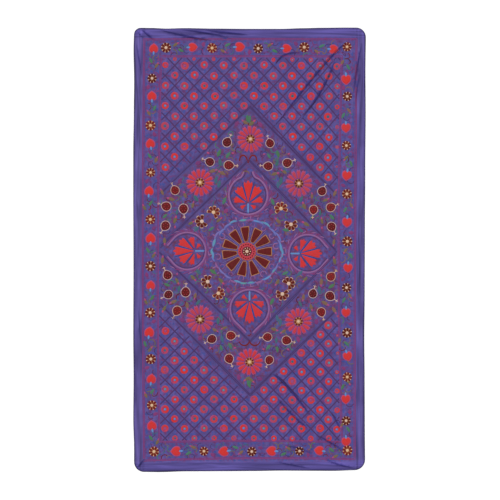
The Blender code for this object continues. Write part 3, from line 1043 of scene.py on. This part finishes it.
# Seven pomegranates stand in each quarter of the band: maroon with a few bright seeds, outlined
# in cream, with a small cream crown. Thin stalks and leaves in greens go between them.
FRUIT_RADIUS = 0.0182
FRUIT_POINT = 0.0035  # how far its top is drawn up
FRUIT_RIM = 1.08  # the cream outline's size against the fruit's
FRUIT_OUTLINE = 0.0026
CROWN_POST = [(0.0, 0.022), (0.0, 0.027), (0.0, 0.034), (0.0, 0.041)]
CROWN_ARMS = [(-0.0065, 0.037), (0.0, 0.034), (0.0065, 0.037)]
FRUIT_STALK = [(0.0, -0.021), (-0.003, -0.032), (-0.010, -0.042)]
# quarters: which way is out and up, and how far the quarter's middle has drifted
QUARTERS = [(-1, 1, 0.000, -0.003), (1, 1, -0.009, -0.007),
            (-1, -1, 0.009, -0.003), (1, -1, -0.012, -0.009)]
# out and up from the middle, and the crown's angle, as for the quarter at the upper right
FRUITS = [(0.097, 0.464, 113), (0.170, 0.380, 20), (0.090, 0.366, 176), (0.320, 0.258, 65),
          (0.357, 0.189, 24), (0.284, 0.180, -94), (0.361, 0.107, -65)]
# the leaves: out, up, angle
BAND_LEAVES = [
    (0.131, 0.419, 100, "green"), (0.092, 0.410, 130, "green"), (0.127, 0.380, 92, "teal"),
    (0.157, 0.342, 150, "olive"), (0.118, 0.333, 20, "olive"), (0.144, 0.303, 88, "teal"),
    (0.131, 0.286, 95, "teal"), (0.277, 0.238, 85, "olive"), (0.337, 0.221, 30, "olive"),
    (0.312, 0.165, 80, "teal"), (0.243, 0.196, 95, "olive"), (0.108, 0.214, 115, "green"),
    (0.131, 0.131, 135, "olive"), (0.165, 0.092, 150, "green"), (0.251, 0.118, 140, "olive"),
    (0.363, 0.148, 150, "green"), (0.320, 0.131, 100, "olive"), (0.374, -0.040, 90, "olive"),
    (0.178, 0.419, 35, "pink"), (0.072, 0.418, 5, "pink"), (0.320, 0.101, 95, "pink"),
    (0.230, 0.224, 60, "teal"), (0.228, 0.092, 130, "teal"), (0.376, 0.251, 60, "olive"),
    (0.009, 0.568, 80, "green"), (0.019, 0.551, 40, "olive"),
]
BAND_SPOTS = [(0.221, 0.376), (0.299, 0.299), (0.101, 0.170), (0.055, 0.545)]
BAND_SPOT_SIZE = 1.15
BAND_STALKS = [
    [(0.060, 0.445), (0.100, 0.415), (0.128, 0.380), (0.126, 0.335), (0.146, 0.295)],
    [(0.262, 0.255), (0.300, 0.222), (0.332, 0.205), (0.335, 0.160), (0.345, 0.118)],
    [(0.150, 0.235), (0.158, 0.195), (0.190, 0.155), (0.222, 0.120)],
    [(0.284, 0.202), (0.300, 0.232), (0.318, 0.238)],
    [(0.170, 0.360), (0.150, 0.340), (0.128, 0.350)],
]


def smooth_path(places, per_span=4):
    """A soft curve through a few places."""
    line = [np.array(place) for place in places]
    line = [2 * line[0] - line[1]] + line + [2 * line[-1] - line[-2]]
    path = []
    for a, b, c, d in zip(line, line[1:], line[2:], line[3:]):
        for share in np.arange(per_span) / per_span:
            curve = 2 * b + (c - a) * share + (2 * a - 5 * b + 4 * c - d) * share**2
            path.append((curve + (3 * b - a - 3 * c + d) * share**3) / 2)
    return path + [line[-2]]


def in_quarter(quarter, out, up):
    """A place given as out and up, in one of the four quarters."""
    sign_x, sign_y, drift_x, drift_y = quarter
    return sign_x * out + drift_x, sign_y * up + drift_y


def turn_in_quarter(quarter, degrees):
    """An angle given for the upper right quarter, in one of the four quarters."""
    across, up = polar(1.0, math.radians(degrees))
    return math.atan2(quarter[1] * up, quarter[0] * across)


fruit_outline = [(x, y + FRUIT_POINT * max(0.0, y / FRUIT_RADIUS) ** 5)
                 for x, y in arc(FRUIT_RADIUS, 0, 360, 23)[:-1]]
rim_outline = np.array(fruit_outline + fruit_outline[:1]) * FRUIT_RIM
fruit = [
    ("maroon", stitched_patch(fruit_outline, rise=1.2, grain=math.pi / 2)),
    ("cream", stitched_row(rim_outline, FRUIT_OUTLINE, rise=1.0, closed=True)),
    ("cream", stitched_row(CROWN_POST, width=0.0034)),
    ("cream", stitched_row(CROWN_ARMS, width=0.0030)),
    ("teal", stitched_row(smooth_path(FRUIT_STALK), STALK_ROW)),
] + knots("red", count=6, reach=0.0100, radius=0.0019)
band_leaves = {thread: [(thread, leaf)] for thread in ("green", "teal")}
band_leaves |= {"olive": olive_leaf, "pink": [("pink", leaf_tip)]}
band = Needlework("band")
for quarter in QUARTERS:
    for out, up, angle in FRUITS:
        turn = turn_in_quarter(quarter, angle) - math.pi / 2 + hand.normal(0, 0.1)
        mirrored = quarter[0] * quarter[1] < 0
        band.work(fruit, in_quarter(quarter, out, up), turn, hand.uniform(0.94, 1.04), mirrored)
    for out, up, angle, motif in BAND_LEAVES:
        turn = turn_in_quarter(quarter, angle) + hand.normal(0, 0.15)
        band.work(band_leaves[motif], in_quarter(quarter, out, up), turn, hand.uniform(0.95, 1.25))
    for out, up in BAND_SPOTS:
        band.work(spot, in_quarter(quarter, out, up), hand.uniform(0, math.pi), BAND_SPOT_SIZE)
    for places in BAND_STALKS:
        path = smooth_path([in_quarter(quarter, *place) for place in places])
        band.work([("teal", stitched_row(path, STALK_ROW))])
embroidery += band.sew()


# Two half-open blossoms stand in each quarter of the inner diamond. Six blunt maroon petals, edged
# in gold, open about three quarters of the way round a cream heart.
HALF_PETALS = (-115, -69, -23, 23, 69, 115)  # the petals' angles
# where each half blossom stands, and which way it opens
HALF_BLOSSOMS = [(-0.155, 0.161, 45), (-0.205, 0.122, 200), (0.135, 0.177, 100), (0.178, 0.109, 280),
                 (-0.180, -0.137, 180), (-0.134, -0.187, -45), (0.168, -0.145, 30), (0.141, -0.190, 270)]
half_petal = [
    ("gold", petal(start=0.0055, end=0.0282, foot=0.0038, widest=0.0092, blunt=0.6, rise=0.7)),
    ("maroon", petal(start=0.0070, end=0.0262, foot=0.0026, widest=0.0076, blunt=0.5, rise=1.3)),
    ("cream", stitched_row(arc(0.0272, -12, 12, 5), width=0.0032, rise=1.0)),
]
half_blossom = [("cream", disc(0.0084, corners=12, rise=1.5))]
for angle in HALF_PETALS:
    half_blossom += turned(half_petal, angle)
half_blossoms = Needlework("half_blossoms")
for x, y, angle in HALF_BLOSSOMS:
    turn = math.radians(angle) + hand.normal(0, 0.1)
    half_blossoms.work(half_blossom, (x, y), turn, hand.uniform(0.95, 1.05))
embroidery += half_blossoms.sew()


# Four palmettes point outward from the middle. A ring of mauve rows opens at its top, and holds
# seven red petals that fan out from a blue stem. The upper and lower ones have a pair of horns.
PALMETTE_RADIUS = 0.0830
# the ring's opening: how many degrees from the top it starts, and its right side, upwards
NECK = (22, [(0.0225, 0.090), (0.0195, 0.101)])
DROP_POINT = (44, [(0.0360, 0.0800), (0.0240, 0.0920), (0.0150, 0.1020)])
WIDE_POINT = (44, [(0.0365, 0.0780), (0.0240, 0.0890)])
# the ring's rows: thread, how far in and how wide
RING_ROWS = [("indigo", 0.0074, 0.0046), ("mauve", 0.0, 0.0082), ("plum", -0.0070, 0.0044)]
# small strokes round the ring's outside: how many, how far out, their slant and size
FEATHERS, FEATHER_REACH, FEATHER_SLANT, FEATHER_SIZE = 22, 0.0135, 72.0, (0.0300, 0.0046)
FEATHER_DRIFT = 0.003  # how far one may stand nearer or further out
PALMETTE_FOOT = (0.0, -0.036)  # where the petals spring from, below the ring's middle
STEM_FOOT = (0.0, -0.077)
# angle, where it starts and ends from the foot, and half its width
PALMETTE_PETALS = [(90, 0.006, 0.099, 0.0195), (124, 0.014, 0.083, 0.0190), (56, 0.014, 0.086, 0.0190),
                   (163, 0.014, 0.065, 0.0140), (17, 0.014, 0.066, 0.0140), (212, 0.012, 0.038, 0.0092),
                   (-32, 0.012, 0.038, 0.0092)]
# one side of a petal that ends in three points
POINTED_SIDE = [(0.0, 0.10), (0.45, 0.56), (0.81, 1.0), (0.95, 0.84), (0.86, 0.46), (1.0, 0.14)]
PALMETTE_SPLIT = (0.3, 0.92)  # where a pink row starts and ends on a petal, as shares of its length
PALMETTE_VEINS = [(106, 0.014, 0.094), (74, 0.014, 0.094), (142, 0.014, 0.078), (38, 0.014, 0.078)]
SPLIT_ROW = 0.0030
VEIN_ROW = 0.0050
STEM_ROW = 0.0095
HORN_ROW = 0.0085
UPPER_HORN = [(0.000, 0.138), (0.006, 0.157), (0.014, 0.168), (0.0225, 0.171), (0.031, 0.167),
              (0.036, 0.157), (0.037, 0.146)]
LOWER_HORN = [(0.000, 0.134), (0.004, 0.147), (0.013, 0.155), (0.025, 0.157), (0.037, 0.152),
              (0.045, 0.141)]
# where each palmette's ring is centred, which way it points, its size, its opening and its horns
PALMETTE_COLUMNS = ("x", "y", "angle", "size", "opening", "horn")
PALMETTES = [
    (-0.006, 0.235, 90, 1.0, NECK, UPPER_HORN),
    (0.000, -0.254, -90, 1.0, DROP_POINT, LOWER_HORN),
    (-0.268, -0.005, 180, 0.96, WIDE_POINT, []),
    (0.250, -0.016, 0, 0.98, WIDE_POINT, []),
]


def open_ring(radius, opening):
    """A ring that opens at its top, from the opening's left side round to its right."""
    degrees_open, right_side = opening
    left_side = [(-x, y) for x, y in reversed(right_side)]
    round_part = arc(radius, 90 + degrees_open, 450 - degrees_open, 34)
    return smooth_path(left_side + round_part + right_side, per_span=2)


def beside(path, aside):
    """A path moved to its left."""
    line = np.array(path)
    along = np.gradient(line, axis=0)
    along /= np.linalg.norm(along, axis=1)[:, None]
    return line + np.stack((-along[:, 1], along[:, 0]), axis=1) * aside


dye_thread("mauve", (0.262, 0.112, 0.262), (0.200, 0.075, 0.240))
dye_thread("blue", (0.026, 0.046, 0.215), (0.030, 0.070, 0.240))
palmette = [("sky", stitched_row(np.linspace(PALMETTE_FOOT, STEM_FOOT, 4), STEM_ROW))]
for angle, start, end, half_width in PALMETTE_PETALS:
    red_petal = ragged_petal(start, end, half_width, POINTED_SIDE, 1.2)
    split_ends = [(start + (end - start) * share, 0.0) for share in PALMETTE_SPLIT]
    split = stitched_row(np.linspace(*split_ends, 4), SPLIT_ROW, rise=1.3)
    palmette += turned([("red", red_petal), ("pink", split)], angle, PALMETTE_FOOT)
for angle, start, end in PALMETTE_VEINS:
    vein = stitched_row(np.linspace((start, 0.0), (end, 0.0), 3), VEIN_ROW)
    palmette += turned([("blue", vein)], angle, PALMETTE_FOOT)
feather = leaf_patch(*FEATHER_SIZE, rise=0.8)
palmettes = Needlework("palmettes")
for values in PALMETTES:
    sizes = dict(zip(PALMETTE_COLUMNS, values))
    motif = list(palmette)
    if sizes["horn"]:
        horn = stitched_row(smooth_path(sizes["horn"]), HORN_ROW, taper=0.3)
        motif += [("maroon", placed(horn, mirrored=True)), ("maroon", horn)]
    for thread, inward, row_width in RING_ROWS:
        path = beside(open_ring(PALMETTE_RADIUS, sizes["opening"]), inward)
        motif.append((thread, stitched_row(path, row_width)))
    degrees_open = sizes["opening"][0] + 4
    for n, degrees in enumerate(np.linspace(90 + degrees_open, 450 - degrees_open, FEATHERS)):
        slant = FEATHER_SLANT if degrees < 270 else -FEATHER_SLANT
        reach = PALMETTE_RADIUS + FEATHER_REACH + FEATHER_DRIFT * hand.uniform(-1, 1)
        place = polar(reach, math.radians(degrees))
        motif.append((("mauve", "plum")[n % 2], placed(feather, degrees - slant, place)))
    turn = math.radians(sizes["angle"]) - math.pi / 2
    palmettes.work(motif, (sizes["x"], sizes["y"]), turn, sizes["size"], dye=hand.uniform(0.0, 0.2))
embroidery += palmettes.sew()


# The medallion is a great flower. Eleven blunt maroon petals edged in gold spread from a red ring
# about a cream eye with dark knots, and a loose wreath of blue strokes and curls goes round all.
MEDALLION = (-0.011, -0.007)
MEDALLION_ANGLES = (0, 32, 62, 95, 127, 160, 188, 222, 257, 290, 327, 360)  # the last is the first again
MEDALLION_DYE = 0.6
# the rings of knots about the eye: thread, how many, how far out and how big
EYE_KNOTS = [("cream", 9, 0.0146, 0.0027), ("maroon", 18, 0.0300, 0.0034), ("gold", 18, 0.0385, 0.0024)]
WREATH_RADII = (0.144, 0.132)
WREATH_SCALLOPS = 16
WREATH_GAPS = 0.3  # the share of scallops without a dash of sky blue
WREATH_STROKES = 26
WREATH_THREADS = ("periwinkle", "periwinkle", "periwinkle", "sky", "mauve")
WREATH_ROW = 0.0108
WREATH_BOW = 0.03  # how much further out a stroke's middle is than its ends
HOOK_RADIUS = 0.0105
HOOK_ROW = 0.0050
BETWEEN = [(0.046, 0.0), (0.075, 0.0), (0.100, 0.0), (0.116, 0.0)]
dye_thread("periwinkle", (0.120, 0.155, 0.430), (0.165, 0.135, 0.370))
great_petal = [
    ("gold", petal(start=0.041, end=0.109, foot=0.0080, widest=0.0222, blunt=0.88, rise=0.8)),
    ("maroon", petal(start=0.043, end=0.106, foot=0.0062, widest=0.0196, blunt=0.85, rise=1.4)),
]
between = [
    ("indigo", stitched_row(BETWEEN, width=0.0088)),
    ("periwinkle", stitched_row(BETWEEN, width=0.0034, rise=1.2)),
]
great_flower = [
    ("red", stitched_ring(outer=0.039, hole=0.0205, rounds=4, rise=1.3)),
    ("maroon", disc(0.0215, corners=20, rise=0.8)),
    ("cream", disc(0.0078, corners=14, rise=1.6)),
]
for ring_of_knots in EYE_KNOTS:
    great_flower += knots(*ring_of_knots)
for angle, following in zip(MEDALLION_ANGLES, MEDALLION_ANGLES[1:]):
    great_flower += turned(great_petal, angle) + turned(between, (angle + following) / 2)
medallion = Needlework("medallion")
medallion.work(great_flower, MEDALLION, dye=MEDALLION_DYE)


def on_wreath(reach, angle, centre=(0.0, 0.0)):
    """A place on the wreath's oval, whose reach is 1, or inside or outside it."""
    x, y = polar(reach, angle)
    return centre[0] + WREATH_RADII[0] * x, centre[1] + WREATH_RADII[1] * y


for n in range(WREATH_STROKES):
    middle = math.tau * n / WREATH_STROKES + hand.normal(0, 0.03)
    half_span = math.pi / WREATH_STROKES * hand.uniform(0.9, 1.5)
    drift = hand.uniform(-0.025, 0.045)
    stroke = [on_wreath(1.0 + drift + WREATH_BOW * (1.0 - share * share), middle + half_span * share)
              for share in np.linspace(-1.0, 1.0, 9)]
    thread = WREATH_THREADS[hand.integers(len(WREATH_THREADS))]
    medallion.work([(thread, stitched_row(stroke, WREATH_ROW, rise=1.0, taper=0.6))], MEDALLION)
hook = [("mauve", stitched_row(arc(HOOK_RADIUS, -130, 130), HOOK_ROW))]
dash = [("sky", leaf_patch(length=0.036, width=0.0100, rise=1.4))]
fleck = [("mauve", leaf_patch(length=0.018, width=0.0060))]
# small work in each scallop: its share of the way along, and how far out it is
scallop_work = [(dash, 0.3, 1.02), (hook, 0.5, 0.885), (fleck, 0.25, 1.11), (fleck, 0.75, 1.11)]
for n in range(WREATH_SCALLOPS):
    for motif, share, reach in scallop_work:
        if motif is dash and hand.random() < WREATH_GAPS:
            continue
        around = (n + share) * math.tau / WREATH_SCALLOPS
        turn = around + (math.pi / 2 if motif is dash else math.pi)
        medallion.work(motif, on_wreath(reach, around, MEDALLION), turn, hand.uniform(0.8, 1.2))
embroidery += medallion.sew()


# Fine tendrils fill the ground between the motifs of the band, the inner diamond and the border:
# short curls of single chain stitch in plum, dark and green threads, each worked by eye.
TENDRILS_OUT, TENDRILS_UP = 0.47, 0.92  # how far from the middle they reach
TENDRIL_PITCH = 0.0195
TENDRIL_ROW = 0.0044
TENDRIL_THREADS = ["plum"] * 3 + ["indigo"] * 3 + ["maroon"] + ["olive"] * 2 + ["green", "teal"]
TENDRIL_CURL = [(-0.0140, -0.0050), (-0.0060, 0.0025), (0.0040, 0.0030),
                (0.0115, -0.0020), (0.0120, -0.0080)]
HORNS_OUT = 1.65  # the horns' middle, as a share of the palmette's y
FRAME_CLEAR = 0.010
# the middles of the motifs, and how far tendrils stay from them
MOTIF_ROOM = [
    ([MEDALLION], 0.160),
    (palmettes.places, 0.098),
    ([(x, y * HORNS_OUT) for x, y, *_, horn in PALMETTES if horn], 0.048),
    (flowers.places, 0.070),
    (border.places, 0.026),
    (half_blossoms.places, 0.035),
    ([in_quarter(quarter, out, up) for quarter in QUARTERS for out, up, _ in FRUITS], 0.029),
]
taken = [(*place, room) for places, room in MOTIF_ROOM for place in places]
taken_x, taken_y, taken_reach = np.transpose(taken)


def room_for_tendril(x, y):
    """Whether a place is in the band, the inner diamond or the border, clear of motifs and edges."""
    if (np.hypot(taken_x - x, taken_y - y) < taken_reach).any():
        return False
    here = np.array([x]), np.array([y])
    room = inside_frame(x, y)
    if room < -FRAME_CLEAR:
        return edge_distance(*here)[0] > HEM_WIDTH + 2 * FRAME_CLEAR
    over = beyond(UPPER_DIAMOND, x, y) if y > 0 else -beyond(LOWER_DIAMOND, x, y)
    gap = nearest_on_line(INNER_DIAMOND, *here)[0][0]
    return room > FRAME_CLEAR and over < -STRIP_HALF and gap > STRIP_HALF


tendril = stitched_row(smooth_path(TENDRIL_CURL, per_span=2), TENDRIL_ROW)
tendrils = Needlework("tendrils")
for grid_x in np.arange(-TENDRILS_OUT, TENDRILS_OUT, TENDRIL_PITCH):
    for grid_y in np.arange(-TENDRILS_UP, TENDRILS_UP, TENDRIL_PITCH):
        x, y = np.array((grid_x, grid_y)) + hand.uniform(-0.4, 0.4, 2) * TENDRIL_PITCH
        thread = TENDRIL_THREADS[hand.integers(len(TENDRIL_THREADS))]
        turn, size = hand.uniform(0, math.tau), hand.uniform(0.7, 1.15)
        if room_for_tendril(x, y):
            tendrils.work([(thread, tendril)], (x, y), turn, size, mirrored=bool(hand.integers(2)))
embroidery += tendrils.sew()


# The floor is plain and white, with a soft sky of light and one soft lamp from the upper left.
# The camera looks straight down, as the photograph does, through a long lens.
PHOTO_SCALE = 0.0042974  # metres a pixel, where the cloth is 232.7 pixels wide
PHOTO_PIXELS = 500
PHOTO_MIDDLE = (0.0019, -0.0009)
LENS = 110.0
SENSOR = 36.0
FLOOR_SIZE = 30.0
FLOOR_COLOUR = (0.95, 0.95, 0.95, 1.0)
SKY_STRENGTH = 0.50
LAMP_STRENGTH = 2.5
LAMP_WIDTH = 20  # degrees across, which sets how soft the shadows are
LAMP_TILT = (-31, -12, 0)

floor_shape = bmesh.new()
bmesh.ops.create_grid(floor_shape, x_segments=1, y_segments=1, size=FLOOR_SIZE / 2)
floor_mesh = bpy.data.meshes.new("floor")
floor_shape.to_mesh(floor_mesh)
floor_shape.free()
floor_paint = start_finish("white_floor", Roughness=0.9, Base_Color=FLOOR_COLOUR)[0]
floor = new_piece("floor", floor_mesh, floor_paint)

world = bpy.data.worlds.new("soft_light")
world.use_nodes = True
world.node_tree.nodes["Background"].inputs["Color"].default_value = (1.0, 1.0, 1.0, 1.0)
world.node_tree.nodes["Background"].inputs["Strength"].default_value = SKY_STRENGTH
bpy.context.scene.world = world

lamp_data = bpy.data.lights.new("soft_lamp", "SUN")
lamp_data.energy = LAMP_STRENGTH
lamp_data.angle = math.radians(LAMP_WIDTH)
lamp = put_in_scene("soft_lamp", lamp_data)
lamp.rotation_euler = [math.radians(degrees) for degrees in LAMP_TILT]

camera_data = bpy.data.cameras.new("camera")
camera_data.lens = LENS
camera_data.sensor_width = SENSOR
camera = put_in_scene("camera", camera_data)
camera.location = (*PHOTO_MIDDLE, PHOTO_SCALE * PHOTO_PIXELS * LENS / SENSOR)
bpy.context.scene.camera = camera
bpy.context.scene.view_settings.view_transform = "Standard"
